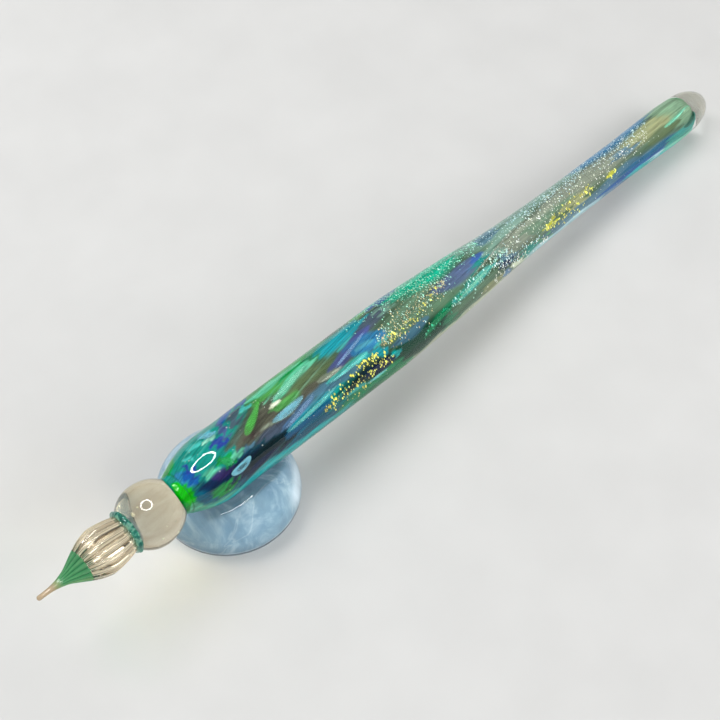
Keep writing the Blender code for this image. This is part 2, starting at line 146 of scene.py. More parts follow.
# Streaks laid over the grounds, the same way
STREAKS = [
    # the front shoulder
    ("teal", 26.2, -50, 28.6, -36, 1.6), ("vivid_green", 27.2, -66, 30.4, -56, 1.4),
    ("aqua", 27.6, -20, 29, -8, 0.8), ("neon", 27.3, -24, 27.6, 50, 3), ("green", 26.2, 20, 27.6, 50, 1.2),
    ("mint", 27.8, 40, 29.6, 62, 1.9), ("turquoise", 36, 62, 47, 60, 0.9), ("green", 28, -48, 31, -64, 1.1),
    ("blue", 28.6, -34, 29.8, 6, 1.6), ("cobalt", 29.4, -24, 30.4, 6, 1.5),
    ("indigo", 30.3, -34, 30.8, 0, 0.6), ("aqua", 32.6, -46, 34.8, -42, 0.8),
    ("aqua", 30.8, -40, 32.6, -26, 0.35), ("indigo", 35.8, -22, 37.9, -24, 1.3),
    ("sky", 35.4, -52, 38, -44, 1.2), ("pale_mint", 35.3, -36, 37.4, -36, 0.6),
    ("violet", 38, -22, 41.2, -58, 1), ("cobalt", 40.4, -48, 44, -68, 1.1),
    ("cobalt", 44.1, -50, 46.2, -68, 0.9), ("mauve", 40.8, -30, 44, -50, 1.2), ("teal", 30.8, 2, 38, 0, 2),
    ("mint", 31.4, 4, 34.4, 6, 1), ("green", 34.8, -4, 36.8, 11, 1.4), ("mint", 36.8, 6, 39, 4, 0.8),
    ("plum", 32.2, 14, 36.6, 19, 0.9), ("vivid_green", 31.2, 36, 36, 42, 1.5),
    ("dark_green", 33.6, 36, 35.4, 42, 0.5), ("mint", 30.6, 54, 38, 57, 0.5),
    ("turquoise", 37, 54, 46, 50, 0.5), ("turquoise", 41.6, 50, 47.4, 42, 0.8),
    ("slate", 39, 2, 41.2, 12, 0.7), ("brown", 41, -6, 44, 2, 0.6), ("mauve", 43, 12, 50, 14, 1),
    ("black_green", 40.4, 32, 49, 35, 1.7), ("navy", 38, 40, 46, 41, 0.9),
    # the opal leaves behind the lime drop
    ("leaf", 45, -40, 54, -47, 1.1), ("aqua", 43.7, -44, 45.4, -46, 1), ("mint", 45.2, -52, 58, -54, 0.9),
    ("green", 52, -63, 61, -61, 1.3), ("mint", 48.4, -26, 60, -43, 1.2),
    ("cream", 47.5, -20, 49.9, -20, 0.6), ("leaf", 47.2, -11, 53.8, -14, 0.8),
    ("periwinkle", 47.4, 19, 55, 3, 0.8), ("slate", 53, 4, 62, 9, 0.8), ("sky", 47, 25, 60, 15, 1),
    ("deep_blue", 46.5, 30, 58, 28, 0.9), ("lagoon", 48, 22, 60, 17, 0.6),
    ("silver", 57.2, -4, 62.6, -5, 0.5), ("smoke", 52.8, -6, 57.5, -2, 0.8), ("silver", 43, 2, 51, 5, 0.18),
    # painted glow: the cyan lines near the lower edge
    ("cyan_edge_glow", 42, 54, 64, 58, 0.75), ("cyan_edge_glow", 34, 60, 44, 56, 0.5),
    # the belly
    ("leaf", 70.8, -54, 76, -67, 1.1), ("cobalt", 75, -57, 81.5, -60, 1.2),
    ("turquoise", 73, -64, 79, -67, 0.8), ("mauve", 68.5, -27, 78, -43, 1.7),
    ("violet", 60.8, -7, 71.5, -28, 1.2), ("aqua", 62, -26, 68.2, -30, 0.35),
    ("blue", 64.5, -14, 73.5, -6, 1.9), ("sky", 66, -10, 69.8, -10, 0.4), ("aqua", 58.5, 5, 68, 2, 0.8),
    ("slate", 57.5, 10, 66, 12, 0.9), ("aqua", 69.8, 2, 74, 1, 0.5), ("lagoon", 67.5, 7, 72, 20, 1),
    ("navy", 65, 28, 72.5, 36, 1.2), ("aqua", 60.4, 40, 65.2, 40, 0.4), ("emerald", 62, 50, 74, 46, 0.9),
    ("turquoise", 71.6, 27, 74, 35, 0.8), ("emerald", 72.8, 51, 75.8, 60, 0.7), ("slate", 73, 18, 82, 17, 1),
    ("pewter", 73.8, -33, 78.3, -31, 0.35), ("pewter", 74.8, -43, 78.5, -38, 0.8),
    # painted glow: the cream line along the lower edge
    ("cream", 74.5, 59, 101, 60, 0.7), ("emerald", 61, 58, 77, 57, 0.8),
    # the blue tongue and the emerald line that turns silver
    ("dusk", 84.5, -10, 99, -12, 1.7), ("dusk", 91, -17, 97, -14, 0.9),
    ("dusk_blue", 95, -15, 99.8, -11, 0.9), ("periwinkle", 94.4, -5, 97.3, -6, 0.35),
    ("emerald", 79.4, 37, 89, 21, 0.85), ("sea", 84, 25, 94, 12, 0.5), ("aqua", 87, 24, 99, 14, 0.9),
    ("teal", 92.5, 10, 100.4, -14, 0.45), ("sea", 83.8, 46, 88.5, 52, 1.3),
    ("slate", 99.6, -38, 106, -52, 1.5), ("pewter", 99.6, -15, 111, -28, 0.5),
    ("pewter", 98.6, -12, 103.4, 2, 1), ("slate", 100, 8, 105.5, 34, 1.1),
    ("navy", 99.6, 27, 104.8, 34, 0.8), ("teal", 106, 40, 111.5, 48, 1.2),
    ("cream", 103.4, 44, 107.8, 60, 0.6), ("leaf", 112.3, 33, 114.6, 60, 0.45),
    ("periwinkle", 100.8, 47, 104, 58, 0.8), ("khaki", 94, 45, 101, 50, 1),
    # the gold line and the slim end
    ("grey_green", 110, 15, 115.5, 22, 0.8), ("gold", 114.2, 28, 116.6, 12, 0.8),
    # painted glow: the ice line along the lower edge
    ("khaki", 118, 14, 127, 10, 0.7), ("khaki", 121, 24, 126.5, 26, 0.6), ("ice", 107, 57, 135, 59, 0.8),
    ("periwinkle", 130, 52, 138, 55, 1), ("slate", 135, -12, 142, -7, 1), ("khaki", 144.5, -27, 151, -21, 1),
    ("olive", 144, 11, 154, 8, 1.2), ("mint", 150, 4, 157.4, -6, 0.3), ("deep_blue", 135, 34, 156, 35, 0.65),
    ("cobalt", 128, 46, 150, 45, 0.45), ("turquoise", 138, 52, 146.5, 55, 0.7),
    ("ice", 144, 52, 148.4, 55, 0.6), ("teal", 150, 42, 160, 40, 1.4),
    ("dark_green", 154.8, 31, 160, 27, 0.7), ("mint", 149, 56, 159, 57, 0.6),
    ("gold", 131.7, 15, 134.2, 13, 0.5),
]
# Patches of dichroic foil: tint, start, end, width, flakes per square mm, half size of the largest flakes
FOILS = [
    ("gold", 55.5, 35, 72, 30, 2, 4.2, 0.15), ("bright_gold", 62.5, 16, 69.5, 12, 0.9, 9, 0.16),
    ("bright_gold", 56.5, 33, 72.5, 28, 1.8, 1.5, 0.2), ("tan", 70.5, 3, 88.5, -16, 2.8, 8, 0.11),
    ("gold", 79.5, 3, 86.5, -15, 0.6, 6, 0.17), ("bright_gold", 72, -7, 74.2, 4, 0.8, 4, 0.18),
    ("gold", 71.5, 9, 79.5, 7, 1, 5, 0.16), ("pale_mint", 70.5, -2, 90, -18, 3, 6, 0.09),
    ("mint", 76, -52, 100, -46, 3.8, 9, 0.11), ("pale_mint", 78, -56, 100, -52, 3.4, 3, 0.11),
    ("emerald", 79.4, 37, 90, 20, 0.9, 6, 0.16), ("pale_mint", 87, 25, 104, 6, 1.5, 7, 0.14),
    ("cream", 97, 4, 146, -16, 3.8, 4.5, 0.09), ("ice", 108, -42, 148, -40, 1.8, 9, 0.11),
    ("ice", 97, -50, 130, -48, 3, 5, 0.1), ("bright_gold", 113.6, 28, 128, 13, 1.5, 4, 0.19),
    ("cream", 98, 40, 114, 52, 2, 4.5, 0.16), ("cream", 112, -12, 140, -12, 1.4, 1.6, 0.14),
    ("ice", 100, 20, 112, 34, 1.8, 4, 0.13), ("bright_gold", 131.5, 15, 134.5, 13, 0.6, 6, 0.18),
]
# Petals that float between the core and the surface: colour, start, end, width, share of the barrel's radius,
# how much blunter the front is, and how dense (below 0 a hollow petal, dense at its rim)
PETALS = [
    # the hollow sky petal is a painted reflection: the ring lamp's pale ring seen in the glass
    ("lime", 41, -8, 48, -45, 1.05, 0.83, 0.7, 0.62), ("sky", 35.3, 25.5, 39.8, 21, 1.25, 0.86, 0, -0.9),
    ("sky", 46, 0, 53.4, -4, 1.1, 0.82, 0, 0.55), ("mint", 48.4, -26, 58, -41, 0.9, 0.8, 0.2, 0.3),
    ("periwinkle", 47.4, 19, 55, 3, 0.7, 0.8, 0, 0.5), ("silver", 57.2, -4, 62.4, -5, 0.5, 0.82, 0, 0.6),
    ("aqua", 58.5, 5, 67.5, 2, 0.5, 0.8, 0, 0.5), ("green", 35, -2, 36.9, 10, 1.2, 0.82, 0, 0.6),
    ("sky", 35.4, -50, 38, -42, 1, 0.82, 0, 0.5), ("cream", 47.6, -20, 49.8, -20, 0.5, 0.84, 0, 0.9),
    ("aqua", 47.5, 26, 59.5, 14, 0.6, 0.8, 0, 0.55), ("mint", 88, 24, 99, 12, 0.5, 0.79, 0, 0.5),
    ("silver", 93, 9, 110, -26, 0.3, 0.8, 0, 0.45), ("mint", 150.5, 4, 157, -5, 0.35, 0.82, 0, 0.8),
    ("aqua", 65, 42, 70, 42, 0.5, 0.8, 0, 0.6), ("periwinkle", 61, -8, 70, -26, 0.5, 0.8, 0, 0.5),
]


def pen_placement():
    """Matrix from the pen's own frame to the row frame, in mm: tilted, with the tail touching the table."""
    front = CASING_BACK + GAP
    underside = [(x, barrel_radius(x)) for x in np.arange(CASING_FRONT, CASING_BACK, 0.5)]
    for i in range(9):
        a = math.radians(90 * i / 8)
        underside.append((front + (PEN_LENGTH - front) * math.sin(a), TAIL_BUTTON_RADIUS * math.cos(a)))
    height = max(x * math.sin(PEN_TILT) + r * math.cos(PEN_TILT) for x, r in underside)
    tip = Vector((-PEN_LENGTH / 2 * math.cos(PEN_TILT), 0, height))
    return Matrix.Translation(tip) @ Matrix.Rotation(PEN_TILT, 4, "Y")


def smooth_radius(outline, along):
    """Radius on a cubic curve through the outline's points that never overshoots them."""
    x = np.array([p[0] for p in outline], float)
    r = np.array([p[1] for p in outline], float)
    slope = np.diff(r) / np.diff(x)
    before, after = slope[:-1], slope[1:]
    same_way = before * after > 0
    total = np.where(same_way, before + after, 1)
    tangent = np.concatenate([slope[:1], np.where(same_way, 2 * before * after / total, 0), slope[-1:]])
    u = np.clip(np.asarray(along, float), x[0], x[-1])
    i = np.clip(np.searchsorted(x, u, side="right") - 1, 0, len(slope) - 1)
    span = x[i + 1] - x[i]
    t = (u - x[i]) / span
    return (r[i] * (1 + 2 * t) * (1 - t) ** 2 + tangent[i] * span * t * (1 - t) ** 2
            + r[i + 1] * t * t * (3 - 2 * t) + tangent[i + 1] * span * t * t * (t - 1))


def barrel_radius(along):
    return smooth_radius(BARREL_OUTLINE, along)


def core_radius(along):
    """Radius of the coloured core, which swells a little under the shoulder."""
    swell = 0.14 * np.exp(-((np.asarray(along) - 30.5) / 3.0) ** 2)
    return CORE_SHARE * barrel_radius(along) * (1 + swell)


def twist(along):
    """Degrees through which the strips have turned at a station."""
    return -TWIST_TOTAL * (1 - np.exp((CASING_FRONT - along) / TWIST_LENGTH))


def linear(colour):
    """A colour name or 0-255 triple as linear light."""
    c = np.array(COLOURS[colour] if isinstance(colour, str) else colour, float) / 255
    return np.where(c <= 0.04045, c / 12.92, ((c + 0.055) / 1.055) ** 2.4)


PEN = np.array(pen_placement())


def to_row_frame(local):
    """Points in the pen's own frame, in mm, as points in the row frame, in metres."""
    return (local @ PEN[:3, :3].T + PEN[:3, 3]) * MM


def pen_points(along, radius, angle):
    """Points of the pen in the row frame, in metres; the angle is in degrees from UPPER_SIDE."""
    theta = np.radians(UPPER_SIDE + angle)
    local = np.broadcast_arrays(along, radius * np.cos(theta), radius * np.sin(theta))
    return to_row_frame(np.stack(local, -1))


# ---- Meshes ----

def in_scene(name, data):
    """A new object in the scene."""
    obj = bpy.data.objects.new(name, data)
    bpy.context.scene.collection.objects.link(obj)
    return obj


def new_piece(name, points, faces, material, body, replaced=(), smooth=True):
    mesh = bpy.data.meshes.new(name)
    mesh.from_pydata(np.asarray(points).reshape(-1, 3).tolist(), [], faces)
    mesh.validate()
    if smooth:
        mesh.shade_smooth()
    mesh.materials.append(material)
    obj = in_scene(name, mesh)
    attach(obj, body)
    if replaced:
        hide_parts(*replaced)
    return obj


def ring_faces(rings, count):
    """Quads over closed rings of points, with a fan to a pole at each end. The poles come last."""
    i = np.arange(rings - 1)[:, None] * count
    j = np.arange(count)[None, :]
    k = (j + 1) % count
    quads = np.stack([i + j, i + k, i + count + k, i + count + j], -1).reshape(-1, 4).tolist()
    front, back = rings * count, rings * count + 1
    last = (rings - 1) * count
    quads += [(front, int(b), int(a)) for a, b in zip(j[0], k[0])]
    quads += [(back, last + int(a), last + int(b)) for a, b in zip(j[0], k[0])]
    return quads


def turned(name, along, radius, count, material, replaced, turn=0.0):
    """A piece round the pen's axis. The radius is per station, or also per angle; turn is in degrees."""
    if radius.ndim == 1:
        radius = radius[:, None]
    angle = np.arange(count) * 360 / count + np.broadcast_to(turn, along.shape)[:, None]
    rings = pen_points(along[:, None], radius, angle)
    poles = pen_points(along[[0, -1]], 0.0, 0.0)
    points = np.concatenate([rings.reshape(-1, 3), poles])
    return new_piece(name, points, ring_faces(len(along), count), material, "pen", replaced)


def lofted(name, rings, material, replaced=()):
    """A piece of the pen over rings of points, with a fan at each end to the middle of its ring."""
    rows, count = rings.shape[:2]
    points = np.concatenate([rings.reshape(-1, 3), np.stack([rings[0].mean(0), rings[-1].mean(0)])])
    return new_piece(name, points, ring_faces(rows, count), material, "pen", replaced)


def dome_profile(front, back, radius, count):
    """Stations and radii of a rounded end from front to back, without its pole."""
    a = np.linspace(0, math.pi / 2, count)[:-1]
    return front + (back - front) * np.sin(a), radius * np.cos(a)


def paint(obj, colours):
    """A linear colour on each vertex of a mesh."""
    rgba = np.concatenate([colours, np.ones((len(colours), 1))], 1).astype(np.float32)
    layer = obj.data.color_attributes.new("tint", "FLOAT_COLOR", "POINT")
    layer.data.foreach_set("color", rgba.ravel())


def paint_rings(obj, colours):
    """A linear colour on each ring point; the two poles take the first and the last."""
    flat = colours.reshape(-1, 3)
    paint(obj, np.concatenate([flat, flat[:1], flat[-1:]]))


def paint_share(obj, name, share):
    """A 0-1 value on each ring point of a mesh, and 0 on its two poles."""
    layer = obj.data.attributes.new(name, "FLOAT", "POINT")
    layer.data.foreach_set("value", np.concatenate([share.ravel(), [0, 0]]).astype(np.float32))


# ---- Noise on the unrolled core ----

def ripple(along, angle, seed, scale, turns, count=9):
    """Smooth noise that closes round the axis: a sum of sines with whole numbers of waves round it."""
    rng = np.random.default_rng(seed)
    total = np.zeros(np.broadcast_shapes(np.shape(along), np.shape(angle)))
    for _ in range(count):
        waves = int(rng.integers(turns[0], turns[1] + 1)) * rng.choice([-1, 1])
        lengthways = along * rng.uniform(0.5, 1.6) / scale
        total += np.sin(lengthways + waves * np.radians(angle) + rng.uniform(0, 6.28))
    return total / math.sqrt(count)


def fibres(along, angle, seed, turns):
    """Fine lines drawn out along the twist."""
    return ripple(along, angle - twist(along), seed, 9.0, turns, 12)


def streak_mask(along, angle, ends, width, soft):
    """1 inside a streak between its two ends, falling softly to 0 outside."""
    u0, a0, u1, a1 = ends
    per_degree = math.radians(1) * float(core_radius((u0 + u1) / 2))
    du, ds = u1 - u0, (a1 - a0) * per_degree
    length = math.hypot(du, ds)
    x = along - u0
    y = ((angle - a0 + 180) % 360 - 180) * per_degree
    t = 2 * (x * du + y * ds) / length ** 2 - 1
    across = np.abs(y * du - x * ds) / length
    inside = np.clip(t, -1, 1)
    half = width / 2 * np.sqrt(1 - inside * inside)
    beyond = np.maximum(np.abs(t) - 1, 0) * length / 2
    m = np.clip((half - across - beyond) / soft + 0.5, 0, 1)
    return m * m * (3 - 2 * m)


def true_angle(seen, share=CORE_SHARE):
    """The angle where a mark at this share of the casing's radius has to lie to be seen at the given angle.

    The casing is a strong lens: what lies at its sides and below is bent up into view.
    """
    inside = np.clip(seen, -SEEN_LIMIT, SEEN_LIMIT)
    offset = SEEN_SCALE * np.sin(np.radians(inside))
    bent = (np.arcsin(np.clip(offset, -1, 1)) + np.arcsin(offset / (GLASS_IOR * share))
            - np.arcsin(offset / GLASS_IOR))
    return np.degrees(bent) + 2 * (seen - inside)


SEEN_ANGLES = np.linspace(-100, 100, 801)
TRUE_ANGLES = true_angle(SEEN_ANGLES)


def half_colour(along, angle):
    """Colour of the pattern on one half of the core; the angle is the one at which it is seen."""
    # waver the marks, less at the front
    calm = np.clip((along - 27) / 8, 0.1, 1)
    u = along + calm * (0.3 * ripple(along, angle, 1, 1.6, (0, 3)) + 0.85 * fibres(along, angle, 5, (14, 40)))
    a = angle + 1.6 * ripple(along, angle, 2, 2.4, (0, 3)) + 0.8 * fibres(along, angle, 6, (6, 20))
    colour = np.ones(u.shape + (3,)) * linear("smoke_green")
    for layer, softness, strength in ((GROUNDS, 0.8, 0.97), (STREAKS, 0.4, 0.9)):
        for name, u0, a0, u1, a1, width in layer:
            rows = (along[:, 0] > u0 - 5) & (along[:, 0] < u1 + 5)
            if not rows.any():
                continue
            soft = softness * (0.35 + 0.5 * width)
            mask = strength * streak_mask(u[rows], a[rows], (u0, a0, u1, a1), width + 0.1, soft)
            colour[rows] += (linear(name) - colour[rows]) * mask[..., None]
    # painted shade: the side turned to the table is darker, fading out towards the slim back
    under = np.clip((angle - 15) / 30, 0, 1) * np.clip((105 - along) / 12, 0, 1)
    return colour * (1 - 0.2 * under)[..., None]


def core_colour(along, angle):
    """Linear colour of the core. The far side repeats the pattern, mirrored and shifted along."""
    angle = (angle + 180) % 360 - 180
    behind = angle % 360 - 180
    front = half_colour(along, np.interp(angle, TRUE_ANGLES, SEEN_ANGLES))
    back = half_colour(along + FAR_SHIFT, -np.interp(behind, TRUE_ANGLES, SEEN_ANGLES))
    share = np.clip((np.abs(angle) - 108) / 16, 0, 1)[..., None]
    colour = front + (back - front) * share
    threads = 0.6 * fibres(along, angle, 8, (20, 60)) + 0.5 * fibres(along, angle, 9, (6, 18))
    colour *= np.clip(1 + 0.2 * threads, 0.35, 1.8)[..., None]
    wisps = fibres(along, angle, 12, (10, 36)) + 0.8 * ripple(along, angle, 13, 6.0, (1, 4))
    wisps = np.clip((wisps - 1.0) / 1.4, 0, 1)[..., None]
    colour += (linear("ice") - colour) * 0.07 * wisps
    lines = fibres(along, angle, 14, (18, 44)) + 0.6 * ripple(along, angle, 15, 7.0, (1, 5))
    lines = np.clip((lines - 1.5) / 0.7, 0, 1)[..., None]
    colour += (linear("pale_mint") - colour) * 0.3 * lines
    # the thick front is deeper in colour than the slim back
    depth = np.clip((108 - along) / 20, 0, 1)[..., None]
    colour = (0.88 - 0.03 * depth) * np.clip(colour, 0, 1) ** (1.1 + 0.12 * depth)
    grey = (colour @ np.array([0.3, 0.59, 0.11]))[..., None]
    return np.clip(grey + (1.07 + 0.1 * depth) * (colour - grey), 0, 1)


# ---- Materials ----

class Nodes:
    """Short ways to add and join nodes in one material."""

    def __init__(self, name):
        self.material = bpy.data.materials.new(name)
        self.material.use_nodes = True
        self.tree = self.material.node_tree
        self.tree.nodes.clear()
        self.output = self.add("ShaderNodeOutputMaterial")

    def add(self, kind, values=(), **settings):
        """A new node with its settings, and constant values on its named inputs."""
        node = self.tree.nodes.new(kind)
        for key, value in settings.items():
            setattr(node, key, value)
        for socket, value in dict(values).items():
            node.inputs[socket].default_value = value
        return node

    def join(self, source, target):
        self.tree.links.new(source, target)

    def object_coords(self):
        return self.add("ShaderNodeTexCoord").outputs["Object"]

    def painted(self, name, output="Color"):
        """What is painted on the mesh under this name."""
        return self.add("ShaderNodeAttribute", attribute_name=name).outputs[output]

    def noise(self, scale, detail=3.0, roughness=0.5, stretch=None, distortion=0.0):
        """Noise from 0 to 1; a stretch scales it along and across the pen."""
        values = {"Scale": scale, "Detail": detail, "Roughness": roughness, "Distortion": distortion}
        node = self.add("ShaderNodeTexNoise", values)
        vector = self.object_coords()
        if stretch is not None:
            mapping = self.add("ShaderNodeMapping", {"Rotation": (0, -PEN_TILT, 0), "Scale": stretch})
            self.join(vector, mapping.inputs["Vector"])
            vector = mapping.outputs["Vector"]
        self.join(vector, node.inputs["Vector"])
        return node.outputs["Fac"]

    def ramp(self, source, stops):
        """Colour ramp; stops are (position, linear colour)."""
        node = self.add("ShaderNodeValToRGB")
        while len(node.color_ramp.elements) < len(stops):
            node.color_ramp.elements.new(0.5)
        for element, (position, colour) in zip(node.color_ramp.elements, stops):
            element.position = position
            element.color = (*colour, 1)
        self.join(source, node.inputs["Fac"])
        return node.outputs["Color"]

    def range(self, source, low, high):
        node = self.add("ShaderNodeMapRange", {"To Min": low, "To Max": high})
        self.join(source, node.inputs["Value"])
        return node.outputs["Result"]

    def mix(self, factor, a, b, blend="MIX"):
        node = self.add("ShaderNodeMix", data_type="RGBA", blend_type=blend)
        for value, socket in ((factor, node.inputs[0]), (a, node.inputs[6]), (b, node.inputs[7])):
            if isinstance(value, bpy.types.NodeSocket):
                self.join(value, socket)
            elif isinstance(value, (int, float)):
                socket.default_value = value
            else:
                socket.default_value = (*value, 1)
        return node.outputs[2]

    def bump(self, source, distance):
        node = self.add("ShaderNodeBump", {"Distance": distance, "Strength": 1.0})
        self.join(source, node.inputs["Height"])
        return node.outputs["Normal"]

    def shader(self, base, roughness=0.5, transmission=0.0, specular=0.5, metallic=0.0, normal=None):
        node = self.add("ShaderNodeBsdfPrincipled", {
            "Roughness": roughness, "IOR": GLASS_IOR, "Transmission Weight": transmission,
            "Specular IOR Level": specular, "Metallic": metallic})
        self.join(base, node.inputs["Base Color"])
        if normal is not None:
            self.join(normal, node.inputs["Normal"])
        return node.outputs["BSDF"]

    def clear(self, tint=(1, 1, 1)):
        """Nothing but a tint, unbent."""
        return self.add("ShaderNodeBsdfTransparent", {"Color": (*tint, 1)}).outputs["BSDF"]

    def mix_shaders(self, factor, first, second):
        node = self.add("ShaderNodeMixShader")
        for source, socket in zip((factor, first, second), node.inputs):
            self.join(source, socket)
        return node.outputs["Shader"]

    def lets_lamps_through(self, surface, tint):
        """Glass whose shadow is only its tint, so that the lamps reach what lies inside it."""
        path = self.add("ShaderNodeLightPath")
        return self.mix_shaders(path.outputs["Is Shadow Ray"], surface, self.clear(tint))

    def finish(self, surface):
        self.join(surface, self.output.inputs["Surface"])
        return self.material


def clear_glass(name, thin, thick, tint, wave, scale):
    """Clear lampworked glass: faint cords in its colour and a barely uneven fire-polished surface."""
    n = Nodes(name)
    cords = n.ramp(n.noise(scale, 3.0, 0.6, stretch=(0.12, 1, 1)), [(0.3, thin), (0.7, thick)])
    uneven = n.bump(n.noise(scale * 0.6, 1.5, 0.5, stretch=(0.3, 1, 1)), wave)
    return n.finish(n.lets_lamps_through(n.shader(cords, 0.0, transmission=1.0, normal=uneven), tint))


def strip_glass(name, glitter):
    """Coloured glass inside the casing: painted tint, drawn-out threads, milky clouds and glints of foil."""
    n = Nodes(name)
    threads = n.noise(2600, 3.0, 0.6, stretch=(0.08, 1, 1))
    shade = n.ramp(threads, [(0.25, (0.62, 0.62, 0.62)), (0.5, (1, 1, 1)), (0.8, (1.35, 1.35, 1.35))])
    tint = n.mix(0.8, n.painted("tint"), shade, "MULTIPLY")
    clouds = n.noise(500, 4.0, 0.65, stretch=(0.35, 1, 1))
    milk = n.ramp(clouds, [(0.55, (0, 0, 0)), (0.8, (0.3, 0.34, 0.33))])
    tint = n.mix(0.05, tint, milk, "SCREEN")
    if glitter > 0:
        cells = n.add("ShaderNodeTexVoronoi", {"Scale": 5200})
        n.join(n.object_coords(), cells.inputs["Vector"])
        glint = 1 - glitter
        spark = n.ramp(cells.outputs["Color"], [(glint - 0.02, (0, 0, 0)), (glint, (0.5, 0.52, 0.46))])
        tint = n.mix(0.5, tint, spark, "ADD")
    return n.finish(n.shader(tint, 0.6, specular=0.0))


def flake_foil():
    """Metal-coated flakes, each with its own tint."""
    n = Nodes("dichroic_foil")
    grain = n.ramp(n.noise(6000, 2.0), [(0.3, (0.75, 0.75, 0.75)), (0.7, (1.2, 1.2, 1.2))])
    return n.finish(n.shader(n.mix(1.0, n.painted("tint"), grain, "MULTIPLY"), 0.3, metallic=0.1))


def opal_petal(colour):
    """Milky glass of a petal, as dense as its mesh is painted."""
    n = Nodes(f"{colour}_petal_glass")
    wisps = n.noise(1600, 4.0, 0.6, stretch=(0.3, 1, 1))
    bright = np.clip(linear(colour) * 1.25, 0, 1)
    milk = n.shader(n.ramp(wisps, [(0.3, linear(colour) * 0.8), (0.7, bright)]), 0.4, specular=0.0)
    veil = n.add("ShaderNodeMath", operation="MULTIPLY")
    n.join(n.painted("cover", "Fac"), veil.inputs[0])
    n.join(n.range(wisps, 0.45, 1.0), veil.inputs[1])
    return n.finish(n.mix_shaders(veil.outputs[0], n.clear(), milk))


def rib_glass(name, transmission, roughness, tint):
    """Glass whose tint is painted on its ribs, with fine drawn threads in it."""
    n = Nodes(name)
    threads = n.ramp(n.noise(1500, 3.0, 0.6, stretch=(0.1, 1, 1)), [(0.3, (0.8, 0.8, 0.8)), (0.7, (1, 1, 1))])
    base = n.mix(0.8, n.painted("tint"), threads, "MULTIPLY")
    return n.finish(n.lets_lamps_through(n.shader(base, roughness, transmission), tint))


# ---- Barrel ----

def make_casing():
    """One clear skin from the ball to the rounded tail; everything coloured lies inside it."""
    mouth = np.linspace(MOUTH, CASING_FRONT, 12, endpoint=False)
    mouth_radius = np.interp(mouth, [MOUTH, 27.0, 27.4, CASING_FRONT], [3.5, 3.56, 3.68, 4.0])
    body = np.linspace(CASING_FRONT, CASING_BACK, 360, endpoint=False)
    # a running mean eases the outline, and the front is drawn in to meet the mouth
    reach = 12
    window = np.exp(-0.5 * (np.arange(-reach, reach + 1) / 4.0) ** 2)
    padded = np.pad(barrel_radius(body), reach, mode="reflect", reflect_type="odd")
    eased = np.convolve(padded, window / window.sum(), mode="valid")
    eased = eased - 0.15 * np.exp(-((body - CASING_FRONT) / 1.5) ** 2)
    tail, tail_radius = dome_profile(CASING_BACK, PEN_LENGTH - 0.02, BARREL_OUTLINE[-1][1], 40)
    along = np.concatenate([mouth, body, tail])
    radius = np.concatenate([mouth_radius, eased, tail_radius])[:, None]
    count = 144
    waves = np.tanh(ripple(along[:, None], np.arange(count) * 360 / count, 31, 7.0, (0, 3)))
    calm = np.clip((along - 44) / 20, 0.15, 1)[:, None]
    radius = radius - 0.02 * (1 + waves) * calm
    radius *= np.where(along < CASING_BACK, 1, 0.997)[:, None]
    glass = clear_glass("clear_casing_glass", (0.98, 0.995, 0.99), (0.93, 0.98, 0.97), (0.95, 0.97, 0.96),
                        0.00001, 300)
    turned("clear_casing", along, radius, count, glass, ["barrel_casing"])


def make_strips():
    """The coloured strips: outside they join into one twisted core, inside each runs down to the rod."""
    step, per_slot = 0.22, 14
    along = np.arange(CORE_FRONT, STRIPS_BACK + step, step)
    width = 360 / SLOTS
    offsets = np.arange(SLOTS * per_slot) * width / per_slot - width / 2
    angle = offsets + twist(along)[:, None]
    colour = core_colour(along[:, None], angle)
    relief = 0.012 * ripple(along[:, None], angle, 41, 3.0, (0, 6))
    # the core is rounded off at the tail, where its end is ragged
    rounded = np.sqrt(np.clip(1 - ((along - 155.6) / 3.1).clip(0, 1) ** 2.4, 0.05, 1))
    outer = core_radius(along)[:, None] * (1 - 0.012 + relief) * rounded[:, None]
    ragged = 0.8 + 0.45 * ripple(158.0, angle, 61, 3.0, (2, 7))
    drawn_out = ragged * ((along - 150) / 8.6).clip(0, 1)[:, None] ** 2
    glitter = {"gold": 0.06, "silver": 0.05, "khaki": 0.03, "emerald": 0.02, "teal": 0.02}
    materials = {}
    for slot, row in enumerate(STRIPS):
        columns = np.arange(slot * per_slot, (slot + 1) * per_slot + 1) % (SLOTS * per_slot)
        across = slot * width - width / 2 + np.arange(per_slot + 1) * width / per_slot
        for i, (name, front) in enumerate(row):
            end = row[i + 1][1] if i + 1 < len(row) else STRIPS_BACK
            first, last = (int(round((station - CORE_FRONT) / step)) for station in (front, end))
            rows = np.arange(first, min(last, len(along) - 1) + 1)
            u, turn = along[rows], twist(along[rows])
            part = np.ix_(rows, columns)
            outside = pen_points(u[:, None] + drawn_out[part], outer[part], turn[:, None] + across)
            inside = pen_points(u + drawn_out[rows, slot * per_slot], barrel_radius(u) * ROD_SHARE * 0.98,
                                turn + slot * width)
            kind = "khaki" if name.startswith(KHAKI) else name.split("_")[0]
            if kind not in materials:
                materials[kind] = strip_glass(f"{kind}_strip_glass", glitter.get(kind, 0.0))
            rings = np.concatenate([outside, inside[:, None]], 1)
            obj = lofted(f"{name}_glass", rings, materials[kind], [f"{name}_strip"])
            paint_rings(obj, np.concatenate([colour[part], colour[np.ix_(rows, columns[:1])]], 1))


def make_rod():
    n = Nodes("smoke_rod_glass")
    wisps = n.noise(900, 3.0, stretch=(0.1, 1, 1))
    glass = n.shader(n.ramp(wisps, [(0.3, linear("smoke")), (0.7, linear("silver"))]), 0.4, specular=0.0)
    along = np.linspace(29.0, 157.2, 120)
    turned("smoke_rod", along, barrel_radius(along) * ROD_SHARE, 24, n.finish(glass), ["core_rod"])


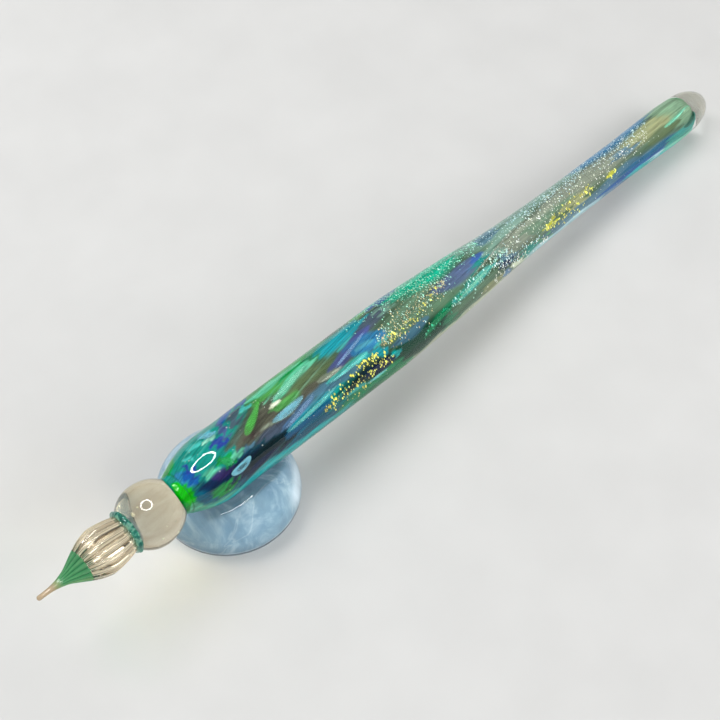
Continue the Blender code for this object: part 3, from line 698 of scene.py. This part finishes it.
def scatter_flakes():
    """Flakes of each tint: station, angle, half size, brightness, lift off the core, two tilts and a spin."""
    rng = np.random.default_rng(7)
    groups = {}
    for tint, u0, a0, u1, a1, width, density, largest in FOILS:
        per_degree = math.radians(1) * float(core_radius((u0 + u1) / 2))
        length = math.hypot(u1 - u0, (a1 - a0) * per_degree)
        for far in (False, True):
            for _ in range(int(0.785 * length * width * density)):
                t = rng.uniform(-1, 1)
                across = rng.normal(0, 0.36) * width * math.sqrt(1 - t * t)
                share = (t + 1) / 2
                u = u0 + (u1 - u0) * share - across * (a1 - a0) * per_degree / length
                a = float(true_angle(a0 + (a1 - a0) * share + across * (u1 - u0) / length / per_degree))
                if far:
                    u, a = u - FAR_SHIFT, 180 - a
                if not 29.5 < u < 156.5:
                    continue
                size = largest * (0.4 + 0.6 * rng.random() ** 2)
                brightness = 0.4 + 1.1 * rng.random() ** 1.5
                lift = 0.03 + 0.22 * rng.random() ** 2
                tilt = rng.normal(0, 0.25, 2)
                spin = rng.uniform(0, math.pi)
                groups.setdefault(tint, []).append((u, a, size, brightness, lift, *tilt, spin))
    return groups


def make_flakes():
    """Small plates of foil just outside the core, in the dichroic patches."""
    foil = flake_foil()
    corners = np.array([(-1, -0.8), (1, -1), (0.9, 1), (-1, 0.9)])
    thickness = 0.03
    box = [(0, 1, 2, 3), (7, 6, 5, 4), (0, 4, 5, 1), (1, 5, 6, 2), (2, 6, 7, 3), (3, 7, 4, 0)]
    for tint, flakes in scatter_flakes().items():
        points, faces, colours = [], [], []
        for k, (u, a, size, brightness, lift, tilt_u, tilt_a, spin) in enumerate(flakes):
            turn = np.array([[math.cos(spin), -math.sin(spin)], [math.sin(spin), math.cos(spin)]])
            spun = corners @ turn * size
            spun[:, 1] *= 1.35
            base = float(core_radius(u)) + lift
            height = spun[:, 0] * tilt_u + spun[:, 1] * tilt_a
            across = np.degrees(spun[:, 1] / base)
            for level in (thickness, 0.0):
                points.append(pen_points(u + spun[:, 0], base + height + level, a + across))
            faces += [tuple(8 * k + i for i in face) for face in box]
            colours += [np.clip(linear(tint) * brightness * 1.25, 0, 1)] * 8
        obj = new_piece(f"{tint}_foil_flakes", np.concatenate(points), faces, foil, "pen",
                        smooth=False)
        paint(obj, np.array(colours))


def make_petals():
    """Thin lens-shaped leaves of milky glass that float above the core."""
    materials = {}
    t = -np.cos(np.linspace(0, math.pi, 40))
    s = np.linspace(-1, 1, 11)
    oval = 1 - t * t
    for k, (colour, u0, a0, u1, a1, width, share, drop, dense) in enumerate(PETALS):
        half = width / 2 * np.sqrt(np.maximum(oval, 0.0004)) * (1 - drop * t)
        radius = float(barrel_radius((u0 + u1) / 2)) * share
        du, ds = u1 - u0, math.radians(a1 - a0) * radius
        length = math.hypot(du, ds)
        bow = 0.18 * width * oval
        across = half[:, None] * s + bow[:, None]
        mid = (t[:, None] + 1) / 2
        u = u0 + du * mid - across * ds / length
        a = true_angle(a0 + (a1 - a0) * mid + np.degrees(across * du / length / radius), share)
        rise = 0.12 * (1 - s ** 2) * np.sqrt(np.maximum(oval, 0))[:, None]
        base = barrel_radius(u) * share
        over = pen_points(u, base + rise, a)
        under = pen_points(u, base - rise - 0.015, a)[:, ::-1]
        if colour not in materials:
            materials[colour] = opal_petal(colour)
        obj = lofted(f"{colour}_petal_{k + 1}", np.concatenate([over, under], 1), materials[colour])
        cover = np.sqrt(np.clip(1 - s ** 2, 0, 1)) * np.sqrt(np.clip(oval, 0, 1))[:, None]
        # a hollow petal is a pale ring, painted as the reflection of the ring lamp
        if dense < 0:
            cover = np.clip(4.2 * cover * (1 - cover), 0, 1) + 0.12 * cover
        both_sides = np.concatenate([cover, cover[:, ::-1]], 1)
        paint_share(obj, "cover", np.clip(1.3 * abs(dense) * both_sides, 0, 1))


def make_bubbles():
    """Specks of air in the clear glass of the ball and of the barrel's front."""
    n = Nodes("air_bubble_glass")
    # painted reflection: the specks of air are coloured pale as if they caught the light
    bright = n.ramp(n.noise(3000, 2.0), [(0.3, linear((206, 214, 200))), (0.7, linear((250, 252, 246)))])
    glass = n.mix_shaders(n.range(n.noise(2000, 2.0), 0.3, 0.9), n.clear(), n.shader(bright, 0.1))
    rng = np.random.default_rng(19)
    centres = []
    for _ in range(14):
        direction = rng.normal(size=3)
        place = direction / np.linalg.norm(direction) * 4.6 * rng.random() ** 0.4
        centres.append((place + (BALL_STATION, 0, 0), 0.08 + 0.12 * rng.random()))
    for _ in range(30):
        u = rng.uniform(30.5, 54)
        theta = math.radians(UPPER_SIDE + float(true_angle(rng.uniform(-50, 50), 0.86)))
        radius = float(barrel_radius(u)) * rng.uniform(0.8, 0.9)
        place = np.array([u, radius * math.cos(theta), radius * math.sin(theta)])
        centres.append((place, 0.04 + 0.08 * rng.random() ** 2))
    rings, count = 7, 12
    polar = (np.arange(rings) + 1)[:, None] * math.pi / (rings + 1)
    turn = np.arange(count) * 2 * math.pi / count
    out = np.sin(polar)
    ball = np.stack([-np.cos(polar) + 0 * turn, out * np.cos(turn), out * np.sin(turn)], -1)
    ball = np.concatenate([ball.reshape(-1, 3), [(-1, 0, 0), (1, 0, 0)]])
    points = [to_row_frame(centre + ball * size) for centre, size in centres]
    faces = [tuple(k * len(ball) + i for i in face) for k in range(len(centres))
             for face in ring_faces(rings, count)]
    new_piece("air_bubbles", np.concatenate(points), faces, n.finish(glass), "pen")


# ---- Nib, neck and tail ----

def flute_turn(along):
    return np.degrees(FLUTE_TWIST * along / BULB_END)


def nib_part(name, front, back, rows, depth, ridge, valley, glass, slot, replaced):
    """One length of the nib, with ribs that meet in sharp valleys; ridge and valley are 0-255 colours."""
    count = 256
    angle = np.arange(count) * 360 / count
    rib = np.abs(np.cos(FLUTES * np.radians(angle) / 2))
    along = np.linspace(front, back, rows)
    radius = smooth_radius(NIB_OUTLINE, along)
    if slot == "amber":
        near_tip = np.clip((along - front + 0.004) / 0.4, 0, 1)
        radius = radius * np.sqrt(near_tip * (2 - near_tip))
    depth = (depth * np.clip(along / CONE_END, 0, 1))[:, None]
    ribbed = radius[:, None] * (1 - depth + depth * rib)
    obj = turned(name, along, ribbed, count, glass, replaced, flute_turn(along))
    blend = rib[:, None] ** 0.8
    tint = linear(valley) * (1 - blend) + linear(ridge) * blend + np.zeros((rows, count, 3))
    if slot == "green":
        to_point = np.clip((4.6 - along) / 1.6, 0, 1)[:, None, None]
        tint = tint * (1 - to_point) + linear((200, 180, 140)) * to_point
        pale = 0.6 * np.clip(ripple(along[:, None], angle, 17, 9.0, (3, 9)) - 0.5, 0, 1)[..., None]
        tint = tint * (1 - pale) + linear((170, 200, 140)) * pale
    paint_rings(obj, tint)


def make_nib():
    """Point, green cone and clear bulb. Sixteen ribs run from the bulb into the cone."""
    nib_part("amber_point", 0.02, POINT_END, 40, 0.05, (208, 190, 160), (182, 162, 130),
             rib_glass("amber_point_glass", 0.5, 0.1, (0.8, 0.7, 0.6)), "amber", ["nib_point"])
    nib_part("green_cone", POINT_END, CONE_END, 60, 0.12, (104, 178, 124), (42, 130, 84),
             rib_glass("green_cone_glass", 0.45, 0.05, (0.4, 0.8, 0.6)), "green", ["nib_green_cone"])
    # on the clear bulb the cream ridges are painted highlight and the brown valleys painted shade
    nib_part("clear_fluted_bulb", CONE_END, COLLAR_FRONT + 0.4, 90, 0.13, (255, 244, 216), (140, 112, 78),
             rib_glass("clear_bulb_glass", 1.0, 0.0, (0.92, 0.9, 0.85)), "clear", ["nib_fluted_bulb"])


def make_bead():
    """The knobbly teal bead between the nib and the ball."""
    n = Nodes("teal_bead_glass")
    base = n.ramp(n.noise(1300, 3.0), [(0.32, (0.01, 0.15, 0.14)), (0.48, (0.04, 0.38, 0.3)),
                                       (0.62, (0.4, 0.76, 0.6))])
    glass = n.finish(n.lets_lamps_through(n.shader(base, 0.03, transmission=0.6), (0.4, 0.8, 0.75)))
    a = np.linspace(-math.pi / 2, math.pi / 2, 24)
    middle, half = (COLLAR_FRONT + COLLAR_BACK) / 2, (COLLAR_BACK - COLLAR_FRONT) / 2 + 0.1
    count = 192
    angle = np.arange(count) * 360 / count
    knobs = 0.12 * ripple(middle, angle, 51, 3.0, (9, 17)) + 0.12 * np.abs(np.cos(np.radians(angle * 8)))
    along = middle + half * np.sin(a)
    radius = COLLAR_RADIUS - 0.28 - 0.6 * (1 - np.cos(a))[:, None] + knobs * np.cos(a)[:, None]
    turned("teal_bead", along, np.minimum(radius, COLLAR_RADIUS), count, glass, ["neck_collar"],
           flute_turn(along))


def make_ball():
    glass = clear_glass("clear_ball_glass", linear((238, 230, 208)), linear((186, 168, 136)),
                        (0.86, 0.82, 0.72), 0.00001, 330)
    back = math.acos((BALL_BACK - BALL_STATION) / (BALL_RADIUS * BALL_STRETCH))
    a = np.linspace(math.radians(142), back, 72)
    along = BALL_STATION + BALL_RADIUS * np.cos(a) * np.where(np.cos(a) > 0, BALL_STRETCH, 1)
    turned("clear_ball", along, BALL_RADIUS * np.sin(a), 128, glass, ["neck_ball"])


def make_green_collar():
    """Green glass in the barrel's mouth, rooted in the back of the ball."""
    front, count = 25.9, 144
    along = np.linspace(front, CORE_FRONT + 0.02, 36)
    radius = np.interp(along, [front, 26.3, 27.2, 28.4], [2.3, 2.8, 3.05, 3.12])
    obj = turned("green_collar", along, radius, count, strip_glass("green_collar_glass", 0.0),
                 ["barrel_collar"])
    paint_rings(obj, core_colour(along[:, None], np.arange(count)[None, :] * 360 / count))


def make_tail():
    """A smoky plug inside the clear rounded end."""
    n = Nodes("smoky_button_glass")
    wisps = n.noise(900, 4.0, 0.6, stretch=(0.4, 1, 1))
    smoke = n.ramp(wisps, [(0.3, linear((84, 76, 62))), (0.55, linear((132, 122, 100))),
                           (0.75, linear((196, 192, 170)))])
    glass = n.mix_shaders(n.range(wisps, 0.1, 0.6), n.clear(), n.shader(smoke, 0.4, specular=0.0))
    along, radius = dome_profile(160.7, PEN_LENGTH - 1.2, 2.75, 30)
    turned("smoky_tail_button", along, radius, 64, n.finish(glass), ["tail_button"])


# ---- Rest ----

def rest_points(inset, count=160):
    """The rest drawn in by an inset all over, with the groove pressed in.

    Returns its points in metres (rings from foot to top, then the poles) and its faces, then the height of
    each ring before the groove, in mm, and the angle of each point in a ring, in radians.
    """
    height, radius = [], []
    for i in range(25):
        h = REST_WAIST * i / 24
        share = max(0.0, REST_WAIST - h) / REST_FOOT_DEPTH
        height.append(h)
        radius.append(REST_RADIUS * (1 - share ** REST_FOOT_POWER) ** (1 / REST_FOOT_POWER))
    for i in range(1, 60):
        a = math.radians(90 * i / 60)
        height.append(REST_WAIST + (REST_HEIGHT - REST_WAIST) * math.sin(a))
        radius.append(REST_RADIUS * math.cos(a))
    height = inset + np.array(height) * (1 - 2 * inset / REST_HEIGHT)
    radius = np.array(radius) * (1 - inset / REST_RADIUS)
    angle = np.radians(np.arange(count) * 360 / count)
    centre_x = float((PEN[:3, :3] @ np.array([REST_STATION, 0, 0]) + PEN[:3, 3])[0])
    x = centre_x + radius[:, None] * np.cos(angle)
    y = radius[:, None] * np.sin(angle)
    z = height[:, None] + 0 * x
    # the groove is a cylinder along the pen; its lips are slightly rounded
    groove_radius = GROOVE_RADIUS + inset
    bottom = float(barrel_radius(REST_STATION)) + GAP
    axis_point = PEN[:3, :3] @ np.array([REST_STATION, 0, GROOVE_RADIUS - bottom]) + PEN[:3, 3]
    axis_z = axis_point[2] - (x - axis_point[0]) * math.tan(PEN_TILT)
    reach = np.sqrt(np.maximum(groove_radius ** 2 - y ** 2, 0))
    in_groove = np.abs(y) < groove_radius
    groove = np.where(in_groove, axis_z - reach / math.cos(PEN_TILT), 99.0)
    soft = np.clip(0.5 + 0.5 * (groove - z) / GROOVE_LIP, 0, 1)
    z = np.where(in_groove, z * soft + groove * (1 - soft) - GROOVE_LIP * soft * (1 - soft), z)
    rings = np.stack([x, y, z], -1)
    poles = np.array([(centre_x, 0, rings[0, 0, 2]), (centre_x, 0, rings[-1, :, 2].mean())])
    points = np.concatenate([rings.reshape(-1, 3), poles]) * MM
    return points, ring_faces(len(height), count), height, angle


def rest_milk():
    """Pale blue milk with curling wisps, whitened by the painted light on its mesh."""
    n = Nodes("opal_rest_milk_glass")
    clouds = n.noise(110, 3.0, 0.5)
    wisps = n.noise(150, 6.0, 0.6, stretch=(1, 0.45, 1), distortion=1.6)
    threads = n.noise(110, 4.0, 0.55, stretch=(0.5, 1, 1), distortion=1.2)
    base = n.ramp(clouds, [(0.3, linear((104, 138, 160))), (0.5, linear((130, 162, 180))),
                           (0.7, linear((160, 188, 200)))])
    base = n.mix(0.9, base, n.ramp(wisps, [(0.48, (0, 0, 0)), (0.72, (0.42, 0.44, 0.44))]), "SCREEN")
    lines = n.ramp(threads, [(0.485, (0, 0, 0)), (0.5, (0.4, 0.42, 0.42)), (0.515, (0, 0, 0))])
    base = n.mix(0.6, base, lines, "SCREEN")
    # the painted light whitens the milk
    base = n.mix(n.painted("rim", "Fac"), base, linear((240, 248, 252)))
    milk = n.shader(base, 0.5, specular=0.0)
    return n.finish(n.mix_shaders(n.range(wisps, 0.3, 1.0), n.clear((0.86, 0.92, 0.96)), milk))


def make_rest():
    shell = clear_glass("opal_rest_shell_glass", linear((246, 251, 253)), linear((232, 243, 250)),
                        (0.9, 0.95, 0.98), 0.00003, 120)
    points, faces = rest_points(0.0)[:2]
    new_piece("opal_rest_shell", points, faces, shell, "rest", ["pen_rest"])

    points, faces, height, angle = rest_points(REST_INSET)
    obj = new_piece("opal_rest_milk", points, faces, rest_milk(), "rest")
    # painted light: a bright line round the foot and a crescent of reflected light on one side of the waist
    foot = np.clip((2.9 - height) / 0.9, 0, 1)[:, None]
    outer = np.exp(-((height - 4.4) / 1.3) ** 2)[:, None]
    turn = (np.degrees(angle) - GLINT_ANGLE + 180) % 360 - 180
    glint = np.clip(1.6 - np.abs(turn) / GLINT_SPREAD, 0, 1) * outer
    paint_share(obj, "rim", np.clip(0.75 * foot + 1.3 * glint, 0, 1))


# ---- Stage ----

def make_floor():
    s, z = 2.0, -0.0001
    mesh = bpy.data.meshes.new("floor")
    mesh.from_pydata([(-s, -s, z), (s, -s, z), (s, s, z), (-s, s, z)], [], [(0, 1, 2, 3)])
    n = Nodes("pale_floor")
    base = n.ramp(n.noise(60, 2.0), [(0.3, (0.60, 0.60, 0.59)), (0.7, (0.63, 0.63, 0.62))])
    mesh.materials.append(n.finish(n.shader(base, 0.8, specular=0.2)))
    in_scene("floor", mesh)


def make_world():
    """Soft light from all round, brighter from above."""
    world = bpy.data.worlds.new("studio")
    bpy.context.scene.world = world
    world.use_nodes = True
    nodes, links = world.node_tree.nodes, world.node_tree.links
    background = nodes["Background"]
    background.inputs["Strength"].default_value = 0.36
    coords, split, ramp = (nodes.new("ShaderNode" + kind) for kind in ("TexCoord", "SeparateXYZ", "ValToRGB"))
    for element, (position, grey) in zip(ramp.color_ramp.elements, ((0.0, 0.42), (0.75, 1.0))):
        element.position = position
        element.color = (grey, grey, grey, 1)
    links.new(coords.outputs["Generated"], split.inputs["Vector"])
    links.new(split.outputs["Z"], ramp.inputs["Fac"])
    links.new(ramp.outputs["Color"], background.inputs["Color"])


def make_lamps():
    for name, place, size, power in (
        ("key_light", (-0.15, 0.3, 0.55), 0.45, 3.4),
        ("fill_light", (0.15, -0.55, 0.35), 0.5, 3.2),
    ):
        data = bpy.data.lights.new(name, "AREA")
        data.shape = "DISK"
        data.size = size
        data.energy = power
        lamp = in_scene(name, data)
        lamp.location = place
        lamp.rotation_euler = (-Vector(place)).to_track_quat("-Z", "Y").to_euler()
        lamp.visible_glossy = False


def make_ring_lamp():
    """A ring lamp overhead, seen only as a small ring in the glass."""
    major, minor, count, sides = 0.125, 0.012, 96, 12
    centre = (-0.04, 0.03, 0.42)
    a = (np.arange(count) * 2 * math.pi / count)[:, None]
    b = np.arange(sides) * 2 * math.pi / sides
    r = major + minor * np.cos(b)
    rings = np.stack([r * np.cos(a), r * np.sin(a), minor * np.sin(b) + 0 * a], -1) + centre
    faces = [(i * sides + j, (i + 1) % count * sides + j, (i + 1) % count * sides + (j + 1) % sides,
              i * sides + (j + 1) % sides) for i in range(count) for j in range(sides)]
    mesh = bpy.data.meshes.new("ring_lamp")
    mesh.from_pydata(rings.reshape(-1, 3).tolist(), [], faces)
    n = Nodes("ring_lamp_glow")
    mesh.materials.append(n.finish(n.add("ShaderNodeEmission", {"Strength": 30}).outputs["Emission"]))
    ring = in_scene("ring_lamp", mesh)
    ring.visible_camera = False
    ring.visible_diffuse = False
    ring.visible_transmission = False


CAMERA_AZIMUTH, CAMERA_ELEVATION, CAMERA_ROLL = -42.876, 55.5, -1.832
CAMERA_DISTANCE, CAMERA_TARGET, CAMERA_LENS = 267.96, (-9.31, 4.77, 0.0), 74.0


def make_camera():
    azimuth, elevation, roll = (math.radians(v) for v in (CAMERA_AZIMUTH, CAMERA_ELEVATION, CAMERA_ROLL))
    back = Vector((math.sin(azimuth) * math.cos(elevation), -math.cos(azimuth) * math.cos(elevation),
                   math.sin(elevation)))
    right = (-back).cross(Vector((0, 0, 1))).normalized()
    up = right.cross(-back)
    right, up = (right * math.cos(roll) + up * math.sin(roll), up * math.cos(roll) - right * math.sin(roll))
    data = bpy.data.cameras.new("camera")
    data.lens = CAMERA_LENS
    data.sensor_width = 36
    data.clip_start = 0.01
    camera = in_scene("camera", data)
    place = (Vector(CAMERA_TARGET) + back * CAMERA_DISTANCE) * MM
    camera.matrix_world = Matrix.Translation(place) @ Matrix((right, up, back)).transposed().to_4x4()
    bpy.context.scene.camera = camera


bpy.context.scene.view_settings.view_transform = "Standard"
make_camera()
make_floor()
make_world()
make_lamps()
make_ring_lamp()
make_casing()
make_strips()
make_rod()
make_flakes()
make_petals()
make_bubbles()
make_nib()
make_bead()
make_ball()
make_green_collar()
make_tail()
make_rest()
